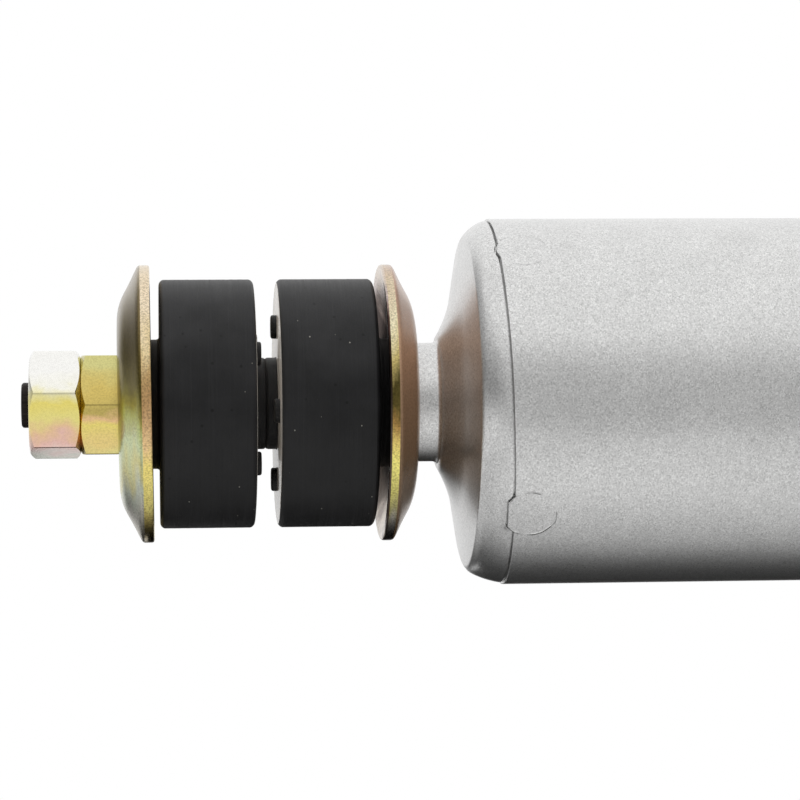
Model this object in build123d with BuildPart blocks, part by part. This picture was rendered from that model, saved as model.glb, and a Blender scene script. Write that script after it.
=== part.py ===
from build123d import *
from math import cos, radians, sin, sqrt, tan
import os

# Twin-tube gas shock absorber with a stem top mount and an eye bottom mount.
# Lengths are in millimetres. +Z runs up the damper to the stem, and the origin is
# the centre of the lower eye, whose bore lies along Y. Drawn fully extended.

# Stroke and running clearances
stroke = 200.0
slide_clear = 0.03      # radial, piston band in the pressure tube and rod in its bush
turn_clear = 0.05       # radial, piston in its band and eye bush on its sleeve
stop_gap = 0.3          # rebound bumper to rod guide when fully extended
bottom_clear = 4.0      # rod end to base valve when fully closed
cover_clear = 8.0       # damper body to dust cap when fully closed
plate_clear = 0.15      # radial, valve plates on their guiding bosses
seat_gap = 0.02         # valve plates above their seats

# Lower eye, its rubber bush and its sleeve
eye_od = 42.0
eye_wall = 3.5
eye_width = 30.0
eye_chamfer = 0.8
sleeve_bore = 12.2
sleeve_od = 18.0
sleeve_length = 38.0
sleeve_chamfer = 0.5
bush_overhang = 2.8
bush_lip = 1.8
bush_groove = 2.2
bush_groove_depth = 3.5
weld_root = 0.6         # gap between the eye and the base cap, which the weld fills
weld_foot = 11.0
weld_top = 14.0

# Damper body
reserve_od = 54.0
reserve_wall = 1.6
crimp_radius = 3.0
crimp_bore = 21.5
pressure_bore = 35.0
pressure_wall = 1.5
base_thickness = 2.5
base_corner = 18.0
base_corner_run = 16.4  # radial width of the rounded corner, less than base_corner
base_skirt = 8.0
bead = 2.0

# Base valve
base_plate_thickness = 8.0
base_foot_width = 3.0
base_foot_height = 11.0
base_foot_slot = 8.0
base_foot_count = 4
valve_spigot = 4.0
intake_count = 6
intake_hole = 4.2
intake_pitch_r = 12.6
bleed_count = 4
bleed_hole = 3.0
bleed_pitch_r = 7.0
intake_boss_r = 9.3
intake_plate_r = 15.3
intake_plate_thickness = 0.5
intake_lift = 1.2
pin_r = 4.0
pin_head_r = 5.4
pin_head = 2.0
pin_chamfer = 0.7
disc_thickness = 0.4
base_disc_radii = (10.0, 8.5, 7.2)

# Rod, piston and piston valves
rod_d = 16.0
spigot_d = 10.0
rod_tail = 2.0
rod_chamfer = 1.0
piston_height = 18.0
piston_relief = 0.2
band_height = 8.0
band_wall = 1.4
band_side_clear = 0.2
band_split = 0.6
check_boss_r = 11.0
check_plate_r = 15.4
check_plate_thickness = 0.6
check_lift = 0.9
outer_port_count = 8
outer_port = 3.2
outer_port_r = 13.2
inner_port_count = 8
inner_port = 2.2
inner_port_r = 9.4
inner_port_turn = 22.5  # degrees, half a step from the outer ports
rebound_disc_radii = (11.3, 10.0, 8.8)
rebound_seat_r = 10.4
rebound_seat_thickness = 1.5
spring_thickness = 0.3
spring_fingers = 6
tip_inset = 1.3         # finger tips inside the rims of the valve plates
finger_slot = 3.5       # width of the slots between a spring's fingers
nut_sleeve_r = 6.0
nut_sleeve_length = 12.0
piston_nut_af = 19.0
piston_nut_height = 8.0
wire_d = 2.0
spring_turns = 2.6
spring_seat_clear = 0.05
coil_clear = 0.6        # radial, coil to the nut's sleeve

# Rebound stop
stop_height = 3.0
stop_r = 14.0
stop_groove = 0.6
stop_round = 0.6
stop_above_shoulder = 4.0
bumper_height = 8.0
bumper_r = 13.5
bumper_notch = 4.0
bumper_notch_depth = 2.5
bumper_notches = 6

# Rod guide and oil seal
guide_spigot = 8.0
guide_height = 14.0
guide_bush_wall = 1.0
guide_bush_length = 14.0
guide_bush_inset = 1.0
seal_pocket_r = 17.0
seal_pocket_depth = 6.0
drain_count = 3
drain_hole = 3.5
drain_pitch_r = 20.9
drain_channel = 1.5
o_ring_d = 2.2
seal_body_r = 16.0
seal_bore_r = 11.0
seal_washer_thickness = 2.5
seal_lip_clear = 0.04
seal_lip_wall = 1.2      # thickness of the two lips behind their edges
seal_lip_edge = 0.4     # the oil lip is this much thicker at its edge
seal_neck = 1.0         # wall outside the garter spring's centre line
seal_flange = 2.0       # rubber below the washer, and depth of the oil lip
seal_collar = 3.0       # rubber bonded in the washer's bore
seal_shoulder = 1.0
seal_top = 4.5
garter_d = 1.8
garter_r = 11.6

# Dust cover at the top of the rod
cover_od = 63.8
cover_wall = 1.2
cover_overlap = 22.0
cover_skew = 1.95       # degrees, the end of the tube is not quite square
cap_thickness = 1.6
cap_skirt = 8.0
cap_seam_gap = 0.35
cap_rim_step = 0.35     # the cap's rim lies this far inside the tube's skin
cap_hub_r = 11.5
cap_hub_slope = 30.4
cap_dish_slope = 10.1
cap_dish_radius = 26.5
cap_rim_width = 3.05    # radial, from the start of the crest to the rim
cap_crest_round = 1.4
cap_rim_slope = 36.0     # degrees, slope of the rim where it leaves the crest
cap_rim_end_slope = 73.0
cap_rim_wall = 0.1      # straight wall below the rim, above the seam
spot_count = 4
spot_r = 4.4
spot_depth = 0.35
spot_ring = 0.6
spot_drop = 4.1         # centre of each weld below the highest point of the tube's edge
spot_turn = 59.0        # degrees about Z from +X to the first weld

# Stem, its bushes, cup washers and nuts
collar_d = 20.7
collar_length = 4.2
collar_round = 0.3
stem_d = 10.0
stem_past_nut = 1.4
stem_chamfer = 1.25
cup_d = 48.0
cup_thickness = 2.3
cup_crown_r = 14.3
cup_turn = 33.0         # degrees, steepest slope of the cup's wall
cup_shoulder_radius = 9.0
cup_rim_slope = 16.0
cup_trim = 1.1          # the wall is drawn this much longer, then cut at cup_d
cup_edge_round = 0.5
cup_bore_clear = 0.2
bush_d = 43.1
bush_disc = 16.3
bush_corner = 1.1
outer_boss_d = 22.4
outer_boss = 4.75
inner_boss_d = 15.9
inner_boss = 2.17
inner_boss_round = 0.7
nub_count = 4
nub_d = 4.1
nub_height = 1.0
nub_pitch_r = 13.3
outer_bush_turn = 45.0  # degrees, the outer bush stands turned on the inner one
stem_nut_af = 17.0
stem_nut_height = 6.4
lock_nut_height = 8.8
stem_nut_turn = 5.0     # degrees about Z, as the nuts were left when tightened
lock_nut_turn = 18.0
nut_chamfer = 30.0      # degrees, cone that trims a nut's corners
nut_face = 0.97         # width of a nut's end face over its width across flats

# Radii that follow
eye_r = eye_od / 2
eye_bore_r = eye_r - eye_wall
reserve_r = reserve_od / 2
reserve_bore_r = reserve_r - reserve_wall
base_flat = reserve_bore_r - base_corner_run
bore_r = pressure_bore / 2
pressure_r = bore_r + pressure_wall
rod_r = rod_d / 2
spigot_r = spigot_d / 2
stem_r = stem_d / 2
cover_r = cover_od / 2
cover_bore_r = cover_r - cover_wall
cap_rim_r = cover_r - cap_rim_step
cap_crest_r = cap_rim_r - cap_rim_width
band_outer_r = bore_r - slide_clear
band_inner_r = band_outer_r - band_wall
band_floor_r = band_inner_r - turn_clear
piston_r = bore_r - piston_relief
guide_bush_bore_r = rod_r + slide_clear
guide_bush_r = guide_bush_bore_r + guide_bush_wall

# Heights of the damper body, from the eye upwards
base_z = eye_r + weld_root
tube_foot_z = base_z + base_corner - sqrt(base_corner**2 - base_corner_run**2)
base_top_z = tube_foot_z + base_skirt
base_inner_corner = base_corner - base_thickness


def dome_height(radius):
    """Height of the base cap's inner face at this radius."""
    reach = radius - base_flat
    return base_z + base_corner - sqrt(base_inner_corner**2 - reach**2)


foot_z = dome_height(pressure_r)
valve_seat_z = foot_z + base_foot_height
plate_under_z = valve_seat_z + valve_spigot - base_plate_thickness
intake_seat_z = valve_seat_z + valve_spigot
intake_boss_height = seat_gap + intake_plate_thickness + intake_lift + stop_gap
boss_top_z = intake_seat_z + intake_boss_height
pin_top_z = boss_top_z + spring_thickness + pin_head
disc_stack = disc_thickness * len(base_disc_radii)

# Heights of the piston stack
rod_end_z = pin_top_z + bottom_clear + stroke
nut_low_z = rod_end_z + rod_tail
nut_flange_z = nut_low_z + piston_nut_height
nut_top_z = nut_flange_z + nut_sleeve_length
rebound_stack = disc_thickness * len(rebound_disc_radii)
piston_z = nut_top_z + rebound_stack
piston_top_z = piston_z + piston_height
check_boss_height = seat_gap + check_plate_thickness + check_lift + stop_gap
check_boss_z = piston_top_z + check_boss_height
shoulder_z = check_boss_z + spring_thickness
stop_z = shoulder_z + stop_above_shoulder
bumper_z = stop_z + stop_height
guide_z = bumper_z + bumper_height + stop_gap

# Heights of the rod guide and the closed end
guide_seat_z = guide_z + guide_spigot
guide_top_z = guide_seat_z + guide_height
washer_top_z = guide_top_z + seal_washer_thickness
body_top_z = washer_top_z + reserve_wall
seal_top_z = washer_top_z + seal_top

# Heights of the dust cover and the stem
cap_under_z = body_top_z + stroke + cover_clear
cap_top_z = cap_under_z + cap_thickness
stem_seat_z = cap_top_z + collar_length
inner_bush_z = stem_seat_z + cup_thickness
bush_length = outer_boss + bush_disc + inner_boss
outer_bush_z = inner_bush_z + bush_length
outer_cup_z = outer_bush_z + bush_length
stem_nut_z = outer_cup_z + cup_thickness
lock_nut_z = stem_nut_z + stem_nut_height
stem_top_z = lock_nut_z + lock_nut_height + stem_past_nut

os.makedirs("parts", exist_ok=True)


def save(part, name):
    """Label a finished piece and write it to its own file."""
    part.label = name
    export_step(part, f"parts/{name}.step")


def add_ring(inner, outer, low, high):
    """Add a plain ring about Z to the part being built, or a disc where inner is 0."""
    stand = (Align.CENTER, Align.CENTER, Align.MIN)
    with Locations((0, 0, low)):
        Cylinder(outer, high - low, align=stand)
        if inner > 0:
            Cylinder(inner, high - low, align=stand, mode=Mode.SUBTRACT)


def disc_pile(bore, radii, top_z):
    """Thin discs lying on each other, the first with its upper face at top_z."""
    pile = []
    for level, radius in enumerate(radii):
        high = top_z - level * disc_thickness
        with BuildPart() as disc:
            add_ring(bore, radius, high - disc_thickness, high)
        pile.append(disc.part)
    return Compound(children=pile)


# Lower eye: a short tube along Y
with BuildPart() as lower_eye:
    with BuildSketch(Plane.XZ):
        Circle(eye_r)
        Circle(eye_bore_r, mode=Mode.SUBTRACT)
    extrude(amount=eye_width / 2, both=True)
    chamfer(lower_eye.edges().filter_by(GeomType.CIRCLE), eye_chamfer)
save(lower_eye.part, "lower_eye")

# Sleeve that the mounting bolt clamps
with BuildPart() as eye_sleeve:
    with BuildSketch(Plane.XZ):
        Circle(sleeve_od / 2)
        Circle(sleeve_bore / 2, mode=Mode.SUBTRACT)
    extrude(amount=sleeve_length / 2, both=True)
    chamfer(eye_sleeve.edges().filter_by(GeomType.CIRCLE), sleeve_chamfer)
save(eye_sleeve.part, "eye_sleeve")

# Rubber bush between them, with a lip over each face of the eye and a hollow in each end
bush_end = eye_width / 2 + bush_overhang
bush_bore_r = sleeve_od / 2 + turn_clear
bush_mid_r = (bush_bore_r + eye_bore_r) / 2
with BuildPart() as eye_bush:
    with BuildSketch(Plane.XY):
        with BuildLine():
            Polyline(
                (bush_bore_r, 0),
                (bush_bore_r, bush_end),
                (bush_mid_r - bush_groove, bush_end),
                (bush_mid_r, bush_end - bush_groove_depth),
                (bush_mid_r + bush_groove, bush_end),
                (eye_bore_r, bush_end),
                (eye_bore_r + bush_lip, eye_width / 2 + bush_lip),
                (eye_bore_r + bush_lip, eye_width / 2),
                (eye_bore_r - eye_chamfer, eye_width / 2),
                (eye_bore_r - eye_chamfer, eye_width / 2 - eye_chamfer),
                (eye_bore_r, eye_width / 2 - 2 * eye_chamfer),
                (eye_bore_r, 0),
                close=True,
            )
        make_face()
        mirror(about=Plane.XZ)
    revolve(axis=Axis.Y)
save(eye_bush.part, "eye_bush")

# Base cap: a pressed dish with a skirt inside the reserve tube
with BuildPart() as base_cap:
    with BuildSketch(Plane.XZ):
        with BuildLine():
            outer_flat = Line((0, base_z), (base_flat, base_z))
            outer_corner = RadiusArc(
                outer_flat @ 1, (reserve_bore_r, tube_foot_z), -base_corner
            )
            outer_skirt = Line(outer_corner @ 1, (reserve_bore_r, base_top_z))
            rim = Line(outer_skirt @ 1, (reserve_bore_r - base_thickness, base_top_z))
            inner_foot_z = dome_height(reserve_bore_r - base_thickness)
            inner_skirt = Line(rim @ 1, (reserve_bore_r - base_thickness, inner_foot_z))
            inner_corner = RadiusArc(
                inner_skirt @ 1, (base_flat, base_z + base_thickness), base_inner_corner
            )
            inner_flat = Line(inner_corner @ 1, (0, base_z + base_thickness))
            Line(inner_flat @ 1, outer_flat @ 0)
        make_face()
    revolve(axis=Axis.Z)
save(base_cap.part, "base_cap")

# Weld between the eye and the base cap, hollowed by both
with BuildPart() as eye_weld:
    with BuildSketch(Plane.XY.offset(base_z - bead * 2)):
        RectangleRounded(2 * weld_foot, eye_width - 2 * bead, bead)
    with BuildSketch(Plane.XY.offset(base_z + bead)):
        RectangleRounded(2 * weld_top, eye_width, bead)
    loft()
    with BuildSketch(Plane.XZ):
        Circle(eye_r)
    extrude(amount=eye_width, both=True, mode=Mode.SUBTRACT)
    with BuildSketch(Plane.XZ):
        with BuildLine():
            cut_flat = Line((0, base_z), (base_flat, base_z))
            cut_corner = RadiusArc(
                cut_flat @ 1, (reserve_bore_r, tube_foot_z), -base_corner
            )
            Polyline(cut_corner @ 1, (0, tube_foot_z), cut_flat @ 0)
        make_face()
    revolve(axis=Axis.Z, mode=Mode.SUBTRACT)
save(eye_weld.part, "eye_weld")

# Reserve tube with its top edge rolled in over the seal
with BuildPart() as reserve_tube:
    with BuildSketch(Plane.XZ):
        with BuildLine():
            wall = Line((reserve_r, tube_foot_z), (reserve_r, body_top_z - crimp_radius))
            roll = RadiusArc(
                wall @ 1, (reserve_r - crimp_radius, body_top_z), -crimp_radius
            )
            Polyline(
                roll @ 1,
                (crimp_bore, body_top_z),
                (crimp_bore, washer_top_z),
                (reserve_bore_r, washer_top_z),
                (reserve_bore_r, tube_foot_z),
                wall @ 0,
            )
        make_face()
    revolve(axis=Axis.Z)
save(reserve_tube.part, "reserve_tube")

# Weld bead round the foot of the reserve tube
with BuildPart() as base_weld:
    with BuildSketch(Plane.XZ):
        with Locations((reserve_r - reserve_wall / 2, tube_foot_z - bead / 2)):
            Circle(bead)
    revolve(axis=Axis.Z)
    add(reserve_tube.part, mode=Mode.SUBTRACT)
    with BuildSketch(Plane.XZ):
        with BuildLine():
            bead_flat = Line((0, base_z), (base_flat, base_z))
            bead_corner = RadiusArc(
                bead_flat @ 1, (reserve_bore_r, tube_foot_z), -base_corner
            )
            Polyline(
                bead_corner @ 1,
                (reserve_bore_r, base_top_z),
                (0, base_top_z),
                bead_flat @ 0,
            )
        make_face()
    revolve(axis=Axis.Z, mode=Mode.SUBTRACT)
save(base_weld.part, "base_weld")

# Pressure tube, from the base valve to the rod guide
with BuildPart() as pressure_tube:
    add_ring(bore_r, pressure_r, valve_seat_z, guide_seat_z)
save(pressure_tube.part, "pressure_tube")

# Base valve body: slotted foot, ported plate and a boss that guides the intake plate
with BuildPart() as base_valve_body:
    with BuildSketch(Plane.XZ):
        Polygon(
            (0, plate_under_z),
            (pressure_r - base_foot_width, plate_under_z),
            (pressure_r - base_foot_width, foot_z),
            (pressure_r, foot_z),
            (pressure_r, valve_seat_z),
            (bore_r, valve_seat_z),
            (bore_r, intake_seat_z),
            (intake_boss_r, intake_seat_z),
            (intake_boss_r, boss_top_z),
            (0, boss_top_z),
            align=None,
        )
    revolve(axis=Axis.Z)
    with BuildSketch(Plane.XY.offset(foot_z)):
        for turn in range(base_foot_count // 2):
            Rectangle(
                4 * pressure_r,
                base_foot_slot,
                rotation=turn * 360 / base_foot_count,
            )
    extrude(amount=(plate_under_z - foot_z), mode=Mode.SUBTRACT)
    with Locations((0, 0, boss_top_z)):
        Hole(pin_r)
        with PolarLocations(intake_pitch_r, intake_count):
            Hole(intake_hole / 2)
        with PolarLocations(bleed_pitch_r, bleed_count):
            Hole(bleed_hole / 2)
save(base_valve_body.part, "base_valve_body")

# Discs under the base valve, largest against the plate
save(disc_pile(pin_r, base_disc_radii, plate_under_z), "compression_discs")

# Pin that holds the base valve's discs and spring
pin_foot_z = plate_under_z - disc_stack
with BuildPart() as base_valve_pin:
    add_ring(0, pin_r, pin_foot_z, pin_top_z - pin_head)
    add_ring(0, pin_head_r, pin_foot_z - pin_head, pin_foot_z)
    add_ring(0, pin_head_r, pin_top_z - pin_head, pin_top_z)
    chamfer(base_valve_pin.faces().sort_by(Axis.Z)[-1].edges(), pin_chamfer)
save(base_valve_pin.part, "base_valve_pin")

# Intake plate: a flat ring that lifts to let oil back into the pressure tube
with BuildPart() as intake_plate:
    plate_low = intake_seat_z + seat_gap
    add_ring(
        intake_boss_r + plate_clear,
        intake_plate_r,
        plate_low,
        plate_low + intake_plate_thickness,
    )
save(intake_plate.part, "intake_plate")


def star_spring(bore, clamp_r, top_z, reach, tip_z, ports):
    """A thin disc clamped at its middle, with sprung fingers down to a valve plate.

    ports is the pitch radius, count, diameter and first angle of the holes through it.
    """
    port_r, port_count, port_d, port_turn = ports
    with BuildPart() as star:
        with BuildSketch(Plane.XZ):
            with BuildLine():
                Polyline(
                    (bore, top_z),
                    (clamp_r, top_z),
                    (reach, tip_z),
                    (reach, tip_z + spring_thickness),
                    (clamp_r, top_z + spring_thickness),
                    (bore, top_z + spring_thickness),
                    close=True,
                )
            make_face()
        revolve(axis=Axis.Z)
        with BuildSketch(Plane.XY.offset(tip_z - spring_thickness)):
            with PolarLocations(reach, spring_fingers):
                Rectangle(2 * (reach - clamp_r), finger_slot)
        extrude(amount=top_z - tip_z + 3 * spring_thickness, mode=Mode.SUBTRACT)
        with Locations((0, 0, top_z + spring_thickness)):
            with PolarLocations(port_r, port_count, start_angle=port_turn):
                Hole(port_d / 2)
    return star.part


intake_spring = star_spring(
    pin_r,
    intake_boss_r + plate_clear,
    boss_top_z,
    intake_plate_r - tip_inset,
    intake_seat_z + seat_gap + intake_plate_thickness,
    (bleed_pitch_r, bleed_count, bleed_hole, 0),
)
save(intake_spring, "intake_spring")

# Piston: ported body with a groove for its band and a boss for the check plate
groove_low = piston_z + (piston_height - band_height) / 2 - band_side_clear
groove_high = groove_low + band_height + 2 * band_side_clear
with BuildPart() as piston:
    with BuildSketch(Plane.XZ):
        Polygon(
            (spigot_r, piston_z),
            (piston_r, piston_z),
            (piston_r, groove_low),
            (band_floor_r, groove_low),
            (band_floor_r, groove_high),
            (piston_r, groove_high),
            (piston_r, piston_top_z),
            (check_boss_r, piston_top_z),
            (check_boss_r, check_boss_z),
            (spigot_r, check_boss_z),
            align=None,
        )
    revolve(axis=Axis.Z)
    with Locations((0, 0, check_boss_z)):
        with PolarLocations(outer_port_r, outer_port_count):
            Hole(outer_port / 2)
        with PolarLocations(inner_port_r, inner_port_count, start_angle=inner_port_turn):
            Hole(inner_port / 2)
save(piston.part, "piston")

# Piston band, split so that it springs into its groove
band_low = groove_low + band_side_clear
with BuildPart() as piston_band:
    add_ring(band_inner_r, band_outer_r, band_low, band_low + band_height)
    with BuildSketch(Plane.XZ):
        with Locations((0, band_low + band_height / 2)):
            Rectangle(band_split, 2 * band_height, rotation=30)
    extrude(amount=-pressure_bore, mode=Mode.SUBTRACT)
save(piston_band.part, "piston_band")

# Check plate over the piston's outer ports, and the spring that seats it
with BuildPart() as check_plate:
    check_low = piston_top_z + seat_gap
    add_ring(
        check_boss_r + plate_clear,
        check_plate_r,
        check_low,
        check_low + check_plate_thickness,
    )
save(check_plate.part, "check_plate")

check_spring = star_spring(
    spigot_r,
    check_boss_r + plate_clear,
    check_boss_z,
    check_plate_r - tip_inset,
    piston_top_z + seat_gap + check_plate_thickness,
    (inner_port_r, inner_port_count, inner_port, inner_port_turn),
)
save(check_spring, "check_spring")

# Rebound discs under the piston, largest against it
save(disc_pile(spigot_r, rebound_disc_radii, piston_z), "rebound_discs")

# Seat that carries the rebound spring's load to the discs
seat_top = piston_z - rebound_stack
with BuildPart() as rebound_seat:
    with BuildSketch(Plane.XZ):
        Polygon(
            (nut_sleeve_r + plate_clear, seat_top),
            (rebound_disc_radii[-1], seat_top),
            (rebound_seat_r, seat_top - rebound_seat_thickness / 2),
            (rebound_seat_r, seat_top - rebound_seat_thickness),
            (nut_sleeve_r + plate_clear, seat_top - rebound_seat_thickness),
            align=None,
        )
    revolve(axis=Axis.Z)
save(rebound_seat.part, "rebound_seat")

# Rebound spring, a short coil round the nut's sleeve
spring_low = nut_flange_z + wire_d / 2 + spring_seat_clear
spring_high = seat_top - rebound_seat_thickness - wire_d / 2 - spring_seat_clear
spring_r = nut_sleeve_r + wire_d / 2 + coil_clear
with BuildPart() as rebound_spring:
    with BuildLine(Plane.XY.offset(spring_low)):
        coil = Helix(
            pitch=(spring_high - spring_low) / spring_turns,
            height=spring_high - spring_low,
            radius=spring_r,
        )
    with BuildSketch(Plane(coil @ 0, z_dir=coil % 0)):
        Circle(wire_d / 2)
    sweep(is_frenet=True)
save(rebound_spring.part, "rebound_spring")

# Piston nut: hexagon with a sleeve that clamps the stack
with BuildPart() as piston_nut:
    with BuildSketch(Plane.XY.offset(nut_low_z)):
        RegularPolygon(piston_nut_af / 2, 6, major_radius=False)
    extrude(amount=piston_nut_height)
    add_ring(0, nut_sleeve_r, nut_flange_z, nut_top_z)
    with Locations((0, 0, nut_top_z)):
        Hole(spigot_r)
save(piston_nut.part, "piston_nut")

# Piston rod with its lower spigot, stop groove and threaded upper stem
with BuildPart() as piston_rod:
    with BuildSketch(Plane.XZ):
        Polygon(
            (0, rod_end_z),
            (spigot_r - rod_chamfer, rod_end_z),
            (spigot_r, rod_end_z + rod_chamfer),
            (spigot_r, shoulder_z),
            (rod_r, shoulder_z),
            (rod_r, stop_z),
            (rod_r - stop_groove, stop_z),
            (rod_r - stop_groove, bumper_z),
            (rod_r, bumper_z),
            (rod_r, stem_seat_z),
            (stem_r, stem_seat_z),
            (stem_r, stem_top_z - stem_chamfer),
            (stem_r - stem_chamfer, stem_top_z),
            (0, stem_top_z),
            align=None,
        )
    revolve(axis=Axis.Z)
save(piston_rod.part, "piston_rod")

# Rebound stop ring in the rod's groove, and the notched bumper above it
with BuildPart() as rebound_stop:
    add_ring(rod_r - stop_groove, stop_r, stop_z, bumper_z)
    stop_rims = rebound_stop.edges().filter_by(GeomType.CIRCLE).group_by(SortBy.RADIUS)[-1]
    fillet(stop_rims, stop_round)
save(rebound_stop.part, "rebound_stop")

bumper_top = bumper_z + bumper_height
with BuildPart() as rebound_bumper:
    add_ring(rod_r, bumper_r, bumper_z, bumper_top)
    with BuildSketch(Plane.XY.offset(bumper_top - bumper_notch_depth)):
        with PolarLocations(bumper_r, bumper_notches):
            Rectangle(2 * (bumper_r - rod_r) - bumper_notch, bumper_notch)
    extrude(amount=bumper_notch_depth, mode=Mode.SUBTRACT)
save(rebound_bumper.part, "rebound_bumper")

# Rod guide: spigot in the pressure tube, flange in the reserve tube, pocket for the seal
pocket_z = guide_top_z - seal_pocket_depth
o_ring_low = guide_top_z - o_ring_d
with BuildPart() as rod_guide:
    with BuildSketch(Plane.XZ):
        Polygon(
            (guide_bush_r, guide_z),
            (bore_r, guide_z),
            (bore_r, guide_seat_z),
            (reserve_bore_r, guide_seat_z),
            (reserve_bore_r, o_ring_low),
            (reserve_bore_r - o_ring_d, o_ring_low),
            (reserve_bore_r - o_ring_d, guide_top_z),
            (seal_pocket_r, guide_top_z),
            (seal_pocket_r, pocket_z),
            (guide_bush_r, pocket_z),
            align=None,
        )
    revolve(axis=Axis.Z)
    with Locations((0, 0, guide_top_z)):
        with PolarLocations(drain_pitch_r, drain_count):
            Hole(drain_hole / 2)
    with BuildSketch(Plane.XY.offset(guide_top_z - drain_channel)):
        with PolarLocations((drain_pitch_r + seal_pocket_r) / 2, drain_count):
            Rectangle(drain_pitch_r - seal_pocket_r + turn_clear, drain_hole)
    extrude(amount=drain_channel, mode=Mode.SUBTRACT)
save(rod_guide.part, "rod_guide")

# Lined bush in the rod guide
with BuildPart() as guide_bush:
    bush_low = guide_z + guide_bush_inset
    add_ring(guide_bush_bore_r, guide_bush_r, bush_low, bush_low + guide_bush_length)
save(guide_bush.part, "guide_bush")

# O-ring in the corner of the rod guide
with BuildPart() as guide_o_ring:
    with BuildSketch(Plane.XZ):
        with Locations((reserve_bore_r - o_ring_d / 2, guide_top_z - o_ring_d / 2)):
            Circle(o_ring_d / 2)
    revolve(axis=Axis.Z)
save(guide_o_ring.part, "guide_o_ring")

# Steel washer of the oil seal, clamped under the rolled edge
with BuildPart() as seal_washer:
    add_ring(seal_bore_r, reserve_bore_r, guide_top_z, washer_top_z)
save(seal_washer.part, "seal_washer")

# Oil seal: oil lip with a garter spring below the washer, dust lip above it
lip_r = rod_r + seal_lip_clear
garter_z = guide_top_z - seal_pocket_depth / 2
neck_r = garter_r + seal_neck
with BuildPart() as oil_seal:
    with BuildSketch(Plane.XZ):
        Polygon(
            (lip_r, garter_z),
            (lip_r + seal_lip_wall + seal_lip_edge, garter_z - seal_flange),
            (neck_r, garter_z - seal_flange),
            (neck_r, guide_top_z - seal_flange),
            (seal_body_r, guide_top_z - seal_flange),
            (seal_body_r, guide_top_z),
            (seal_bore_r, guide_top_z),
            (seal_bore_r, washer_top_z),
            (seal_bore_r + seal_collar, washer_top_z),
            (seal_bore_r + seal_collar - seal_shoulder, washer_top_z + seal_shoulder),
            (lip_r + seal_lip_wall, seal_top_z),
            (lip_r, seal_top_z),
            (lip_r + seal_lip_wall, washer_top_z),
            (lip_r + seal_lip_wall, guide_top_z - seal_shoulder),
            align=None,
        )
    revolve(axis=Axis.Z)
    with BuildSketch(Plane.XZ):
        with Locations((neck_r, garter_z)):
            Circle(garter_d / 2)
    revolve(axis=Axis.Z, mode=Mode.SUBTRACT)
save(oil_seal.part, "oil_seal")

with BuildPart() as garter_spring:
    with BuildSketch(Plane.XZ):
        with Locations((neck_r, garter_z)):
            Circle(garter_d / 2)
    revolve(axis=Axis.Z)
save(garter_spring.part, "garter_spring")

# Dust cap: hub under the collar, shallow flared dish, rounded crest and a rolled rim
# that steps in to a skirt inside the dust tube
skirt_bore_r = cover_bore_r - cap_thickness
skew = radians(cover_skew)
skew_drop = 2 * cover_r * sin(skew)
hub_slope = radians(cap_hub_slope)
dish_slope = radians(cap_dish_slope)
with BuildLine() as cap_skin:
    hub = Line((rod_r, cap_top_z), (cap_hub_r, cap_top_z))
    flare = JernArc(
        hub @ 1,
        (cos(hub_slope), -sin(hub_slope)),
        cap_dish_radius,
        cap_hub_slope - cap_dish_slope,
    )
    dish_run = (cap_crest_r - (flare @ 1).X) / cos(dish_slope)
    dish = Line(flare @ 1, flare @ 1 + (flare % 1) * dish_run)
    crest = JernArc(dish @ 1, dish % 1, cap_crest_round, cap_dish_slope - cap_rim_slope)
    rim_share = sin(radians(cap_rim_end_slope)) - sin(radians(cap_rim_slope))
    rim_round = (cap_rim_r - (crest @ 1).X) / rim_share
    rim_arc = JernArc(crest @ 1, crest % 1, rim_round, cap_rim_slope - cap_rim_end_slope)
tube_top_z = (rim_arc @ 1).Y - cap_rim_wall - cap_seam_gap
skirt_z = tube_top_z - skew_drop - cap_skirt


def lip_plane(raised):
    """The slightly skew plane of the dust tube's upper end, raised by this much."""
    return Plane(
        origin=(0, 0, tube_top_z - skew_drop / 2 + raised),
        z_dir=(-sin(skew), 0, cos(skew)),
    )


with BuildPart() as tube_space:
    add_ring(cover_bore_r, cover_r + 1, skirt_z - 1, tube_top_z + 1)
    split(bisect_by=lip_plane(cap_seam_gap), keep=Keep.BOTTOM)
with BuildPart() as dust_cap:
    with BuildSketch(Plane.XZ):
        with BuildLine():
            add(cap_skin.line)
            sheet = Vector(-sin(dish_slope), -cos(dish_slope)) * cap_thickness
            dish_under = flare @ 1 + sheet
            wall_reach = (skirt_bore_r - dish_under.X) / cos(dish_slope)
            mid_slope = (hub_slope + dish_slope) / 2
            flare_under = ThreePointArc(
                (cap_hub_r - cap_thickness * sin(hub_slope / 2), cap_under_z),
                flare @ 0.5 - Vector(sin(mid_slope), cos(mid_slope)) * cap_thickness,
                dish_under,
            )
            Polyline(
                rim_arc @ 1,
                (cap_rim_r, skirt_z),
                (skirt_bore_r, skirt_z),
                dish_under + (flare % 1) * wall_reach,
                dish_under,
            )
            Polyline(flare_under @ 0, (rod_r, cap_under_z), hub @ 0)
        make_face()
    revolve(axis=Axis.Z)
    add(tube_space.part, mode=Mode.SUBTRACT)
save(dust_cap.part, "dust_cap")

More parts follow.
